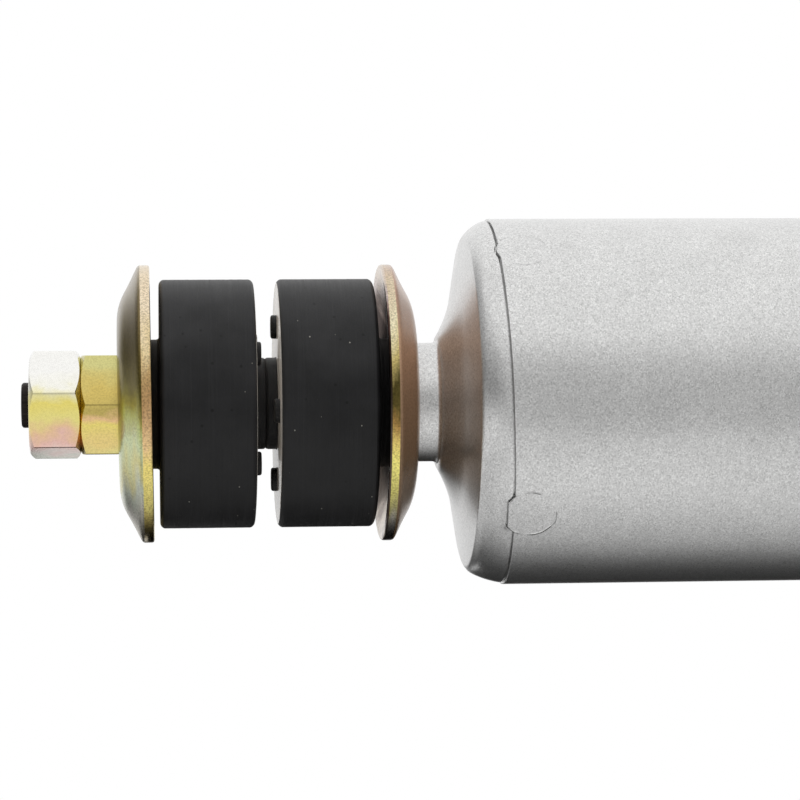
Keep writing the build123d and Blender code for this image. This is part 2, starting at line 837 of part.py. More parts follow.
# Dust tube, its upper end slightly out of square, with a ring mark at each weld
tube_low_z = body_top_z - cover_overlap
with BuildPart() as dust_tube:
    add_ring(cover_bore_r, cover_r, tube_low_z, tube_top_z + 1)
    split(bisect_by=lip_plane(0), keep=Keep.BOTTOM)
    for spot in range(spot_count):
        turn = radians(spot_turn + spot * 360 / spot_count)
        out = Vector(cos(turn), sin(turn))
        spot_plane = Plane(
            origin=out * (cover_r - spot_depth) + Vector(0, 0, tube_top_z - spot_drop),
            x_dir=(-sin(turn), cos(turn), 0),
            z_dir=out,
        )
        with BuildSketch(spot_plane):
            Circle(spot_r + spot_ring / 2)
            Circle(spot_r - spot_ring / 2, mode=Mode.SUBTRACT)
        extrude(amount=2 * spot_depth, mode=Mode.SUBTRACT)
save(dust_tube.part, "dust_tube")

# Collar that the stem hardware seats on
with BuildPart() as stem_collar:
    add_ring(rod_r, collar_d / 2, cap_top_z, stem_seat_z)
    collar_rim = stem_collar.faces().sort_by(Axis.Z)[-1].outer_wire().edges()
    fillet(collar_rim, collar_round)
save(stem_collar.part, "stem_collar")


def cup_washer(crown_z, side):
    """A dished washer, crown at crown_z, whose rim reaches towards side (+1 up, -1 down)."""
    with BuildPart() as cup:
        with BuildSketch(Plane.XZ) as section:
            with BuildLine():
                start = Line((stem_r + cup_bore_clear, 0), (cup_crown_r, 0))
                shoulder = JernArc(start @ 1, (1, 0), cup_shoulder_radius, cup_turn)
                run = cup_d / 2 - (shoulder @ 1).X
                steep = sin(radians(cup_turn))
                easy = sin(radians(cup_rim_slope))
                wall_arc = JernArc(
                    shoulder @ 1,
                    shoulder % 1,
                    cup_trim * run / (steep - easy),
                    -(cup_turn - cup_rim_slope) * cup_trim,
                )
                offset(amount=cup_thickness, side=Side.LEFT, closed=True)
            make_face()
            Rectangle(cup_d, cup_d, mode=Mode.INTERSECT)
            fillet(section.vertices().group_by(Axis.X)[-1], cup_edge_round)
        revolve(axis=Axis.Z)
    solid = cup.part if side > 0 else cup.part.mirror(Plane.XY)
    return solid.moved(Location((0, 0, crown_z)))


save(cup_washer(stem_seat_z, 1), "inner_cup_washer")
save(cup_washer(stem_nut_z, -1), "outer_cup_washer")


def stem_bush(foot_z, side, turn):
    """A rubber bush, outer boss at foot_z, whose inner boss points to side (+1 or -1)."""
    with BuildPart() as rubber:
        add_ring(0, outer_boss_d / 2, 0, outer_boss)
        add_ring(0, bush_d / 2, outer_boss, outer_boss + bush_disc)
        add_ring(0, inner_boss_d / 2, outer_boss + bush_disc, bush_length)
        rims = rubber.edges().filter_by(GeomType.CIRCLE).group_by(SortBy.RADIUS)[-1]
        fillet(rims, bush_corner)
        tip = rubber.faces().sort_by(Axis.Z)[-1].edges()
        fillet(tip, inner_boss_round)
        with BuildSketch(Plane.XY.offset(outer_boss + bush_disc)):
            with PolarLocations(nub_pitch_r, nub_count, start_angle=turn):
                Circle(nub_d / 2)
        extrude(amount=nub_height)
        with Locations((0, 0, bush_length)):
            Hole(stem_r)
    solid = rubber.part if side > 0 else rubber.part.mirror(Plane.XY)
    return solid.moved(Location((0, 0, foot_z)))


save(stem_bush(inner_bush_z, 1, 0), "inner_bush")
save(stem_bush(outer_cup_z, -1, outer_bush_turn), "outer_bush")


def hex_nut(foot_z, height, turn, trim_foot):
    """A hexagon nut whose corners are trimmed by a cone at the top, and below if asked."""
    corner_r = stem_nut_af / sqrt(3)
    flat_r = stem_nut_af / 2 * nut_face
    fall = (corner_r - flat_r) * tan(radians(nut_chamfer))
    with BuildPart() as nut:
        with BuildSketch(Plane.XY.offset(foot_z)):
            RegularPolygon(stem_nut_af / 2, 6, major_radius=False, rotation=turn)
        extrude(amount=height)
        foot = [(corner_r, foot_z)]
        if trim_foot:
            foot = [(flat_r, foot_z), (corner_r, foot_z + fall)]
        with BuildSketch(Plane.XZ):
            Polygon(
                (0, foot_z),
                *foot,
                (corner_r, foot_z + height - fall),
                (flat_r, foot_z + height),
                (0, foot_z + height),
                align=None,
            )
        revolve(axis=Axis.Z, mode=Mode.INTERSECT)
        with Locations((0, 0, foot_z + height)):
            Hole(stem_r)
    return nut.part


save(hex_nut(stem_nut_z, stem_nut_height, stem_nut_turn, False), "stem_nut")
save(hex_nut(lock_nut_z, lock_nut_height, lock_nut_turn, True), "lock_nut")

print(f"eye centre to stem seat {stem_seat_z:.1f}, top of stem {stem_top_z:.1f}")
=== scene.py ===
import math

import bmesh
import bpy
from mathutils import Euler, Matrix, Vector, noise


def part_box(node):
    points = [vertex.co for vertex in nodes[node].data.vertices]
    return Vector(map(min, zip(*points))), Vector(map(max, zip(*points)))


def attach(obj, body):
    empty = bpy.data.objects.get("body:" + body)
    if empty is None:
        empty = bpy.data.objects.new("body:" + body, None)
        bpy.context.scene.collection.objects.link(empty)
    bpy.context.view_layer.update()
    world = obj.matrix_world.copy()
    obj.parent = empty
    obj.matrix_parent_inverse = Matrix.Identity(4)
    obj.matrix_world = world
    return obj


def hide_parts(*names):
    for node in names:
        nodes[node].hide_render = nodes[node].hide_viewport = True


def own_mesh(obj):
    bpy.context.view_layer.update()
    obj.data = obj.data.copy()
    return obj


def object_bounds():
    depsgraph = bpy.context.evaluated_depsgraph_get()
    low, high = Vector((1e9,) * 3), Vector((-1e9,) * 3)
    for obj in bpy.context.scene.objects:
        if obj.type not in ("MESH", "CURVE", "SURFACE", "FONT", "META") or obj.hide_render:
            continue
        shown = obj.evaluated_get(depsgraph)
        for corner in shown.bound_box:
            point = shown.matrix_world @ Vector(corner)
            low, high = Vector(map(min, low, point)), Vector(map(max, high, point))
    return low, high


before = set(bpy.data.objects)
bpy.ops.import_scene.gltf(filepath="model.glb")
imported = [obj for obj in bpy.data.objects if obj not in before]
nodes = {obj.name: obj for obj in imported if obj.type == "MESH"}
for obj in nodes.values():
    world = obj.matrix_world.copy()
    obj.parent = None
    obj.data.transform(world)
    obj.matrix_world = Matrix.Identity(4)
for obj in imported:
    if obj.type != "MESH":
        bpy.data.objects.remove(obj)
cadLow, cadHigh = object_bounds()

mm = 0.001


def hexColour(code):
    channels = [int(code[i:i + 2], 16) / 255 for i in (1, 3, 5)]
    linear = [c / 12.92 if c <= 0.04045 else ((c + 0.055) / 1.055) ** 2.4 for c in channels]
    return (*linear, 1.0)


def addNode(tree, kind, settings=None, links=None, stops=()):
    # settings are the node's own properties, links its inputs (a value or another node's socket),
    # stops the places and colours of a ramp
    node = tree.nodes.new("ShaderNode" + kind)
    for key, value in (settings or {}).items():
        setattr(node, key, value)
    for key, value in (links or {}).items():
        if isinstance(value, bpy.types.NodeSocket):
            tree.links.new(value, node.inputs[key])
        else:
            node.inputs[key].default_value = value
    if stops:
        elements = node.color_ramp.elements
        while len(elements) < len(stops):
            elements.new(0.5)
        for element, (place, code) in zip(elements, stops):
            element.position = place
            element.color = hexColour(code)
    return node


def newMaterial(name):
    material = bpy.data.materials.new(name)
    material.use_nodes = True
    tree = material.node_tree
    tree.nodes.clear()
    return material, tree


def finishMaterial(tree, surface):
    out = tree.nodes.new("ShaderNodeOutputMaterial")
    tree.links.new(surface.outputs[0], out.inputs["Surface"])


def objectSpace(tree, stretch=(1, 1, 1)):
    # object coordinates in millimetres, so that every scale below is one over a real size
    coord = addNode(tree, "TexCoord")
    size = [1000 * s for s in stretch]
    return addNode(tree, "Mapping", links={"Vector": coord.outputs["Object"], "Scale": size})


# Silver wheel-style paint: lacquer with fine aluminium flakes, sprayed over drawn steel, which
# gives an even grey grain and broad soft reflections; the flakes are drawn ten times too large to show
silverPaint = {
    "base": "#e1e1e0", "shade": "#bebebd", "glint": "#f4f4f3", "roughness": 0.28, "metallic": 0.86,
    "coat": 0.2, "coatRoughness": 0.12,
    "flakeMm": 0.19, "flakeBump": 0.06, "clumpMm": 0.42, "clumpShare": 0.3,
    "peelMm": 1.8, "peelBump": 0.02, "cloudMm": 9.0,
    # the rings around the spot welds: how far they wander, their line, and the size of the gaps in them
    "ringMm": 4.4, "ringWanderMm": 1.4, "wanderMm": 5.0, "ringLineMm": 0.22, "gapMm": 3.2, "ringDeep": 1.0,
    "ringRampMm": 10.0,
}


def weldRings(tree, values, weldZ, under):
    # fine broken circles that the electrodes left, every quarter turn from the first weld
    place = objectSpace(tree).outputs[0]
    split = addNode(tree, "SeparateXYZ", links={"Vector": place})
    turn = addNode(tree, "Math", {"operation": "ARCTAN2"}, {0: split.outputs["Y"], 1: split.outputs["X"]})
    fromSector = addNode(tree, "Math", {"operation": "SUBTRACT"},
                         {0: turn.outputs[0], 1: math.radians(weld["turns"][0] - 45)})
    near = addNode(tree, "Math", {"operation": "WRAP"}, {0: fromSector.outputs[0], 1: 0.0, 2: math.pi / 2})
    across = addNode(tree, "Math", {"operation": "MULTIPLY_ADD"},
                     {0: near.outputs[0], 1: tube["radius"], 2: -tube["radius"] * math.pi / 4})
    along = addNode(tree, "Math", {"operation": "SUBTRACT"}, {0: split.outputs["Z"], 1: weldZ})
    far = addNode(tree, "CombineXYZ", links={"X": across.outputs[0], "Y": along.outputs[0]})
    reach = addNode(tree, "VectorMath", {"operation": "LENGTH"}, {0: far.outputs[0]})
    wobble = addNode(tree, "TexNoise", links={"Vector": place, "Scale": 1 / values["wanderMm"], "Detail": 2.0})
    uneven = addNode(tree, "Math", {"operation": "MULTIPLY_ADD"},
                     {0: wobble.outputs["Fac"], 1: values["ringWanderMm"], 2: reach.outputs["Value"]})
    share = addNode(tree, "Math", {"operation": "DIVIDE"}, {0: uneven.outputs[0], 1: values["ringRampMm"]})
    edge = (values["ringMm"] + values["ringWanderMm"] / 2) / values["ringRampMm"]
    line = values["ringLineMm"] / values["ringRampMm"]
    ring = addNode(tree, "ValToRGB", links={"Fac": share.outputs[0]}, stops=[
        (0.0, "#000000"), (edge - line, "#000000"), (edge, "#ffffff"), (edge + line, "#000000")])
    patchy = addNode(tree, "TexNoise", links={"Vector": place, "Scale": 1 / values["gapMm"], "Detail": 1.0})
    broken = addNode(tree, "MapRange", links={"Value": patchy.outputs["Fac"], "From Min": 0.42, "From Max": 0.58})
    height = addNode(tree, "Math", {"operation": "MULTIPLY"}, {0: ring.outputs[0], 1: broken.outputs[0]})
    return addNode(tree, "Bump", links={"Strength": values["ringDeep"], "Distance": 0.0001,
                                        "Height": height.outputs[0], "Normal": under.outputs[0]})


def makeSilverPaint(name, values, weldZ=None):
    material, tree = newMaterial(name)
    place = objectSpace(tree).outputs[0]
    flakes = addNode(tree, "TexVoronoi", {"feature": "F1"},
                     {"Vector": place, "Scale": 1 / values["flakeMm"], "Randomness": 1.0})
    level = addNode(tree, "SeparateColor", links={"Color": flakes.outputs["Color"]})
    clump = addNode(tree, "TexNoise", links={"Vector": place, "Scale": 1 / values["clumpMm"], "Detail": 2.0})
    both = addNode(tree, "Math", {"operation": "MULTIPLY_ADD"},
                   {0: clump.outputs["Fac"], 1: values["clumpShare"], 2: level.outputs[0]})
    glint = addNode(tree, "ValToRGB", links={"Fac": both.outputs[0]}, stops=[
        (0.1, values["shade"]), (0.55, values["base"]), (0.95, values["base"]), (1.0, values["glint"])])
    cloud = addNode(tree, "TexNoise", links={"Vector": place, "Scale": 1 / values["cloudMm"], "Detail": 4.0})
    patch = addNode(tree, "ValToRGB", links={"Fac": cloud.outputs["Fac"]}, stops=[
        (0.3, "#f6f6f6"), (0.7, "#ffffff")])
    paint = addNode(tree, "Mix", {"data_type": "RGBA", "blend_type": "MULTIPLY"},
                    {"Factor": 1.0, 6: glint.outputs[0], 7: patch.outputs[0]})
    peel = addNode(tree, "TexNoise", links={"Vector": place, "Scale": 1 / values["peelMm"], "Detail": 2.0})
    peelBump = addNode(tree, "Bump", links={"Strength": values["peelBump"], "Distance": 0.001,
                                            "Height": peel.outputs["Fac"]})
    skinBump = addNode(tree, "Bump", links={"Strength": values["flakeBump"], "Distance": 0.0001,
                                            "Height": level.outputs[1], "Normal": peelBump.outputs[0]})
    if weldZ is not None:
        skinBump = weldRings(tree, values, weldZ, skinBump)
    shader = addNode(tree, "BsdfPrincipled", links={
        "Base Color": paint.outputs[2], "Metallic": values["metallic"], "Roughness": values["roughness"],
        "Normal": skinBump.outputs[0], "Coat Weight": values["coat"], "Coat Roughness": values["coatRoughness"]})
    finishMaterial(tree, shader)
    return material


# Steel, zinc plated and yellow passivated: a thin chromate film that shifts from gold to pink and green
yellowZinc = {
    "grainMm": 0.34, "roughness": 0.2, "smoother": 0.05, "rougher": 0.08, "wander": 0.34, "filmMm": 5.0,
    "metallic": 1.0, "fleck": "#cfcfcf", "deep": 0.22,
}
# each piece's colours, ramped along X from its lowest side to its highest within its reach in mm; partly the
# film's own gold, pink and green, partly painted light
zincFilmsAndPaintedLight = {
    # the lock nut's highest stops are near white: a painted highlight of the key light on its top flats
    "lock nut": {"reach": 10.0, "seed": 3, "streak": (1, 1, 1), "fleck": "#f4f4f4", "deep": 0.06, "film": [
        (0.04, "#e4e6d8"), (0.12, "#f0dcd4"), (0.22, "#f4c8bc"), (0.3, "#f6cfa6"), (0.4, "#f6ea92"),
        (0.52, "#f8e880"), (0.6, "#f8f0b4"), (0.68, "#fefcf0"), (0.8, "#fffefa")]},
    "stem nut": {"reach": 10.0, "seed": 11, "streak": (1, 1, 1), "fleck": "#ececec", "deep": 0.08, "film": [
        (0.1, "#f2e69a"), (0.22, "#f6dc90"), (0.36, "#f8e682"), (0.44, "#f6cc98"), (0.52, "#c8b468"),
        (0.7, "#dcc470"), (0.9, "#dcd690")]},
    "outer washer": {"reach": 25.0, "seed": 20, "streak": (0.5, 0.5, 2.0), "film": [
        (0.0, "#a08c5c"), (0.1, "#e8d07c"), (0.2, "#fff094"), (0.32, "#fae688"), (0.42, "#f8d49c"),
        (0.5, "#f0c690"), (0.56, "#e4b880"), (0.64, "#dcb880"), (0.74, "#eed8a8"), (0.88, "#f8e6c8"),
        (1.0, "#f4e0c0")]},
    "outer washer dome": {"reach": 25.0, "seed": 57, "streak": (0.25, 0.25, 2.6), "metallic": 0.75,
                          "fleck": "#dcdcdc", "film": [
        (0.05, "#e4dcc8"), (0.16, "#ddd8c8"), (0.24, "#d8dfc8"), (0.31, "#e6de98"), (0.38, "#d9e4b4"),
        (0.46, "#ccd48c"), (0.51, "#a89f50"), (0.58, "#7c7034"), (0.7, "#746430"), (0.85, "#7c6c48"),
        (1.0, "#b0a288")]},
    "inner washer": {"reach": 25.0, "seed": 31, "streak": (0.3, 0.3, 2.2), "film": [
        (0.04, "#f0e8e0"), (0.14, "#c8c088"), (0.24, "#e0d680"), (0.36, "#fff48c"), (0.43, "#f4dc80"),
        (0.49, "#c09858"), (0.55, "#766838"), (0.62, "#62582f"), (0.7, "#d4c07c"), (0.82, "#f2e8c4"),
        (0.95, "#d8bca4")]},
    "inner washer dome": {"reach": 25.0, "seed": 44, "streak": (0.4, 0.4, 1.4), "metallic": 0.5,
                          "fleck": "#e4e4e4", "film": [
        (0.0, "#9c8060"), (0.3, "#ac8c6c"), (0.5, "#b89474"), (0.7, "#cca484"), (0.85, "#bc9880"),
        (1.0, "#c0a08c")]},
    # the inner washer's cup: a painted reflection of the black bush, dark across the middle and pale towards both
    # ends
    "inner washer cup": {"reach": 25.0, "seed": 71, "streak": (1, 1, 1), "film": [
        (0.04, "#d8ccbc"), (0.1, "#98887c"), (0.16, "#604c3c"), (0.26, "#6a5e54"), (0.7, "#2e2018"),
        (0.77, "#5a443c"), (0.83, "#9c867c"), (0.88, "#c9bab5"), (0.95, "#e4d2c0")]},
}


def makeYellowZinc(piece, values):
    material, tree = newMaterial("yellow passivated zinc, " + piece)
    place = objectSpace(tree).outputs[0]
    streaks = objectSpace(tree, values["streak"]).outputs[0]
    shifted = addNode(tree, "VectorMath", {"operation": "ADD"}, {0: streaks, 1: (values["seed"], 0, 0)})
    drift = addNode(tree, "TexNoise", links={"Vector": shifted.outputs[0], "Scale": 1 / values["filmMm"],
                                             "Detail": 3.0, "Roughness": 0.5, "Distortion": 0.4})
    split = addNode(tree, "SeparateXYZ", links={"Vector": place})
    # the colours are placed along X, the side the key light falls from, so parts of each ramp are painted light
    # and shade
    height = addNode(tree, "MapRange", links={
        "Value": split.outputs["X"], "From Min": -values["reach"], "From Max": values["reach"],
        "To Min": -values["wander"] / 2, "To Max": 1 - values["wander"] / 2})
    film = addNode(tree, "Math", {"operation": "MULTIPLY_ADD"},
                   {0: drift.outputs["Fac"], 1: values["wander"], 2: height.outputs[0]})
    tint = addNode(tree, "ValToRGB", links={"Fac": film.outputs[0]}, stops=values["film"])
    grain = addNode(tree, "TexNoise", links={"Vector": place, "Scale": 1 / values["grainMm"], "Detail": 4.0})
    speck = addNode(tree, "ValToRGB", links={"Fac": grain.outputs["Fac"]}, stops=[
        (0.35, values["fleck"]), (0.6, "#ffffff")])
    colour = addNode(tree, "Mix", {"data_type": "RGBA", "blend_type": "MULTIPLY"},
                     {"Factor": 1.0, 6: tint.outputs[0], 7: speck.outputs[0]})
    rough = addNode(tree, "MapRange", links={
        "Value": grain.outputs["Fac"], "To Min": values["roughness"] - values["smoother"],
        "To Max": values["roughness"] + values["rougher"]})
    bump = addNode(tree, "Bump", links={"Strength": values["deep"], "Distance": 0.0001,
                                        "Height": grain.outputs["Fac"]})
    shader = addNode(tree, "BsdfPrincipled", links={
        "Base Color": colour.outputs[2], "Metallic": values["metallic"], "Roughness": rough.outputs[0],
        "Normal": bump.outputs[0]})
    finishMaterial(tree, shader)
    return material


# Carbon-black natural rubber, moulded and then turned: matt, with fine lathe lines, small pits and pale dust
blackRubber = {"base": "#141415", "worn": "#242425", "line": "#4c4c4d", "pit": "#040404", "dust": "#b4b2a8",
               "lineMm": 0.5, "pitMm": 3.0, "dustMm": 3.4, "grainMm": 0.22, "roughness": 0.46,
               "lineDeep": 0.5, "grainDeep": 0.2, "specular": 0.32, "wax": 0.0, "waxRoughness": 0.15,
               "lineStretch": 0.012, "cloudMm": 7.0}
# The bushes' flat inner faces are painted near white: a painted reflection of the white backdrop glancing off the
# rubber, under a glossy coat that shines where seen along the surface
paleGlareFace = {**blackRubber, "base": "#fbf6ee", "worn": "#e4dbd0", "line": "#8c857c", "pit": "#2a2826",
             "roughness": 0.6, "lineDeep": 0.0, "pitMm": 0.9, "wax": 0.8}


def makeBlackRubber(name, values):
    material, tree = newMaterial(name)
    place = objectSpace(tree).outputs[0]
    lines = addNode(tree, "TexNoise", links={
        "Vector": objectSpace(tree, (values["lineStretch"], values["lineStretch"], 1)).outputs[0],
        "Scale": 1 / values["lineMm"], "Detail": 3.0, "Roughness": 0.7})
    fine = addNode(tree, "TexNoise", links={"Vector": place, "Scale": 1 / values["grainMm"], "Detail": 3.0})
    cloud = addNode(tree, "TexNoise", links={"Vector": place, "Scale": 1 / values["cloudMm"], "Detail": 5.0})
    shade = addNode(tree, "ValToRGB", links={"Fac": cloud.outputs["Fac"]}, stops=[
        (0.35, values["base"]), (0.75, values["worn"])])
    scored = addNode(tree, "ValToRGB", links={"Fac": lines.outputs["Fac"]}, stops=[
        (0.52, "#000000"), (0.72, "#5c5c5c")])
    lined = addNode(tree, "Mix", {"data_type": "RGBA"},
                    {"Factor": scored.outputs[0], 6: shade.outputs[0], 7: hexColour(values["line"])})
    pits = addNode(tree, "TexVoronoi", {"feature": "F1"}, {"Vector": place, "Scale": 1 / values["pitMm"]})
    hole = addNode(tree, "ValToRGB", links={"Fac": pits.outputs["Distance"]}, stops=[
        (0.06, "#ffffff"), (0.11, "#000000")])
    pitted = addNode(tree, "Mix", {"data_type": "RGBA"},
                     {"Factor": hole.outputs[0], 6: lined.outputs[2], 7: hexColour(values["pit"])})
    lint = addNode(tree, "TexVoronoi", {"feature": "F1"}, {
        "Vector": objectSpace(tree, (1, 1, 1.3)).outputs[0], "Scale": 1 / values["dustMm"]})
    speck = addNode(tree, "ValToRGB", links={"Fac": lint.outputs["Distance"]}, stops=[
        (0.025, "#ffffff"), (0.05, "#000000")])
    colour = addNode(tree, "Mix", {"data_type": "RGBA"},
                     {"Factor": speck.outputs[0], 6: pitted.outputs[2], 7: hexColour(values["dust"])})
    rough = addNode(tree, "MapRange", links={"Value": lines.outputs["Fac"], "To Min": values["roughness"] - 0.1,
                                             "To Max": values["roughness"] + 0.12})
    lineBump = addNode(tree, "Bump", links={"Strength": values["lineDeep"], "Distance": 0.0003,
                                            "Height": lines.outputs["Fac"]})
    fineBump = addNode(tree, "Bump", links={"Strength": values["grainDeep"], "Distance": 0.0002,
                                            "Height": fine.outputs["Fac"], "Normal": lineBump.outputs[0]})
    shader = addNode(tree, "BsdfPrincipled", links={
        "Base Color": colour.outputs[2], "Roughness": rough.outputs[0], "Normal": fineBump.outputs[0],
        "Specular IOR Level": values["specular"], "Coat Weight": values["wax"],
        "Coat Roughness": values["waxRoughness"]})
    finishMaterial(tree, shader)
    return material


# Bare metals of the damper, each with two tones of one fine grain
plainMetals = {
    # ground and plated: a near mirror, a touch blue
    "hardChrome": {"light": "#d9dadd", "dark": "#c4c6ca", "grainMm": 3.0, "roughness": 0.08},
    # cold drawn and left bare: satin grey, its grain drawn out along the part
    "drawnSteel": {"light": "#a9abad", "dark": "#85888b", "grainMm": 1.2, "roughness": 0.34},
    # hardened in oil: darker and bluer than drawn steel, with a soft shine
    "springSteel": {"light": "#7e8289", "dark": "#585c63", "grainMm": 0.8, "roughness": 0.3},
    # pressed from powder: dull, with an open grain
    "sinteredIron": {"light": "#6f7072", "dark": "#4c4d4f", "grainMm": 0.3, "roughness": 0.58},
    # manganese phosphate, oiled: brownish black and matt
    "phosphatedSteel": {"light": "#3b3634", "dark": "#221f1e", "grainMm": 0.4, "roughness": 0.5},
    # rolled into a plain bearing: warm and satin
    "tinBronze": {"light": "#b18d5c", "dark": "#8c6b42", "grainMm": 0.6, "roughness": 0.36},
}


def makePlainMetal(name, values):
    material, tree = newMaterial(name)
    place = objectSpace(tree, (1, 1, 0.25)).outputs[0]
    grain = addNode(tree, "TexNoise", links={"Vector": place, "Scale": 1 / values["grainMm"], "Detail": 5.0})
    tone = addNode(tree, "ValToRGB", links={"Fac": grain.outputs["Fac"]}, stops=[
        (0.3, values["dark"]), (0.7, values["light"])])
    rough = addNode(tree, "MapRange", links={"Value": grain.outputs["Fac"], "To Min": values["roughness"] * 0.8,
                                             "To Max": values["roughness"] * 1.25})
    bump = addNode(tree, "Bump", links={"Strength": 0.1, "Distance": 0.0001, "Height": grain.outputs["Fac"]})
    shader = addNode(tree, "BsdfPrincipled", links={
        "Base Color": tone.outputs[0], "Metallic": 1.0, "Roughness": rough.outputs[0],
        "Normal": bump.outputs[0]})
    finishMaterial(tree, shader)
    return material


# Plastics of the damper, moulded or cast, with the same two-tone grain and no metal
plainPlastics = {
    # bronze-filled and skived into a band: brown, waxy and matt
    "filledPtfe": {"light": "#5a4030", "dark": "#3f2c20", "grainMm": 0.4, "roughness": 0.5},
    # cast in natural colour: cream, with a faint cloud
    "castNylon": {"light": "#d9d2bd", "dark": "#c9c1a9", "grainMm": 1.5, "roughness": 0.42},
}


def makePlainPlastic(name, values):
    material, tree = newMaterial(name)
    place = objectSpace(tree).outputs[0]
    grain = addNode(tree, "TexNoise", links={"Vector": place, "Scale": 1 / values["grainMm"], "Detail": 4.0})
    tone = addNode(tree, "ValToRGB", links={"Fac": grain.outputs["Fac"]}, stops=[
        (0.35, values["dark"]), (0.65, values["light"])])
    bump = addNode(tree, "Bump", links={"Strength": 0.08, "Distance": 0.0001, "Height": grain.outputs["Fac"]})
    shader = addNode(tree, "BsdfPrincipled", links={
        "Base Color": tone.outputs[0], "Roughness": values["roughness"], "Normal": bump.outputs[0]})
    finishMaterial(tree, shader)
    return material


# Dust tube: plain rolled tube whose upper end was cut a little out of square
tubeLow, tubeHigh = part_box("dust_tube")
tube = {
    "radius": tubeHigh.x / mm, "wall": 1.2, "low": tubeLow.z / mm, "top": tubeHigh.z / mm,
    "skewDegrees": 1.95, "edgeRound": 0.25, "cornerCut": 0.03, "sink": 0.02,
    "fineBand": 15.0, "fineStep": 0.3, "straightSteps": 12, "steps": 720,
}
skewDrop = 2 * tube["radius"] * math.sin(math.radians(tube["skewDegrees"]))
weld = {"radius": 4.4, "drop": 4.1, "turns": [59, 149, 239, 329], "squeeze": 1.1, "dent": 0.05}

silver = makeSilverPaint("silver metallic lacquer", silverPaint)
silverWelded = makeSilverPaint("silver metallic lacquer, spot welded", silverPaint, tube["top"] - weld["drop"])
zinc = {piece: makeYellowZinc(piece, {**yellowZinc, **film}) for piece, film in zincFilmsAndPaintedLight.items()}
rubber = makeBlackRubber("black natural rubber, turned", blackRubber)
rubberGlareFace = makeBlackRubber("black natural rubber, face painted pale as glare", paleGlareFace)
metals = {key: makePlainMetal(key, values) for key, values in plainMetals.items()}
plastics = {key: makePlainPlastic(key, values) for key, values in plainPlastics.items()}
print("materials made")


def trace(start, heading, moves, arcStep=5.0):
    # a profile in (radius, height) mm; a move is a straight length, or (radius, turn) for an arc to the left
    x, z = start
    points = [(x, z)]
    for move in moves:
        if isinstance(move, (int, float)):
            x += move * math.cos(math.radians(heading))
            z += move * math.sin(math.radians(heading))
            points.append((x, z))
            continue
        radius, turn = move
        count = max(2, round(abs(turn) / arcStep))
        for _ in range(count):
            step = turn / count
            chord = 2 * radius * math.sin(math.radians(abs(step) / 2))
            heading += step / 2
            x += chord * math.cos(math.radians(heading))
            z += chord * math.sin(math.radians(heading))
            heading += step / 2
            points.append((x, z))
    return points


def newPiece(name, bm, material, body, slot, *cadNodes, sharp=32, others=()):
    mesh = bpy.data.meshes.new(name)
    bmesh.ops.recalc_face_normals(bm, faces=bm.faces)
    bm.to_mesh(mesh)
    bm.free()
    mesh.shade_smooth()
    mesh.set_sharp_from_angle(angle=math.radians(sharp))
    piece = bpy.data.objects.new(name, mesh)
    bpy.context.scene.collection.objects.link(piece)
    mesh.materials.append(material)
    for other in others:
        mesh.materials.append(other)
    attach(piece, body)
    if cadNodes:
        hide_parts(*cadNodes)
    return piece


def turned(profile, steps, shape=None):
    # spins a closed profile round Z; shape may move each point: (radius, height, angle) to the same
    bm = bmesh.new()
    rings = []
    for k in range(steps):
        angle = 2 * math.pi * k / steps
        ring = []
        for radius, height in profile:
            r, z, a = shape(radius, height, angle) if shape else (radius, height, angle)
            ring.append(bm.verts.new((r * math.cos(a) * mm, r * math.sin(a) * mm, z * mm)))
        rings.append(ring)
    count = len(profile)
    for k in range(steps):
        here, there = rings[k], rings[(k + 1) % steps]
        for i in range(count):
            j = (i + 1) % count
            bm.faces.new([here[i], here[j], there[j], there[i]])
    bmesh.ops.remove_doubles(bm, verts=bm.verts, dist=1e-7)
    return bm


def lipSkew(angle):
    # how far the skew cut lies below the tube's highest point
    return skewDrop * (1 - math.cos(angle)) / 2


def lipPush(angle):
    # how far the edge is pushed out where a weld's electrode overlapped it
    push = 0.0
    for turn in weld["turns"]:
        gap = (angle - math.radians(turn) + math.pi) % (2 * math.pi) - math.pi
        across = gap * tube["radius"]
        if abs(across) < weld["radius"]:
            over = math.sqrt(weld["radius"] ** 2 - across ** 2) - (weld["drop"] - lipSkew(angle))
            push = max(push, min(weld["squeeze"], over))
    return push


def weldDent(angle, depth):
    # how far the skin stands out (less than 0 in a weld's dent) at this depth below the highest edge
    for turn in weld["turns"]:
        gap = (angle - math.radians(turn) + math.pi) % (2 * math.pi) - math.pi
        far = math.hypot(gap * tube["radius"], depth - weld["drop"])
        if far < weld["radius"]:
            return -weld["dent"] * (1 - (far / weld["radius"]) ** 4)
    return 0.0


def makeDustTube():
    outer = tube["radius"]
    inner = outer - tube["wall"]
    edge = tube["edgeRound"]
    profile = [(inner, tube["low"]), (outer - edge, tube["low"]), (outer, tube["low"] + edge)]
    plain = tube["top"] - tube["low"] - tube["fineBand"]
    count = tube["straightSteps"]
    profile += [(outer, tube["low"] + plain * i / count) for i in range(1, count + 1)]
    # close rings near the seam, for the welds' dents
    fineCount = int(tube["fineBand"] / tube["fineStep"]) - 1
    profile += [(outer, tube["top"] - tube["fineBand"] + tube["fineStep"] * i) for i in range(1, fineCount)]
    cut = tube["cornerCut"]
    profile += [(outer - cut, tube["top"] - edge * 0.5), (outer - edge * 0.5, tube["top"] - cut)]
    profile += [(outer - edge, tube["top"]), (inner + edge, tube["top"]), (inner, tube["top"] - edge)]

    def skewed(r, z, angle):
        depth = tube["top"] - z
        share = max(0.0, 1 - depth / (2 * tube["fineBand"]))
        drop = lipSkew(angle) - lipPush(angle)
        if r > outer - 0.01:
            r += weldDent(angle, depth + drop * share) - tube["sink"]
        return r, z - drop * share, angle

    bm = turned(profile, tube["steps"], skewed)
    newPiece("dustTube", bm, silverWelded, "rod", "silver_paint", "dust_tube")


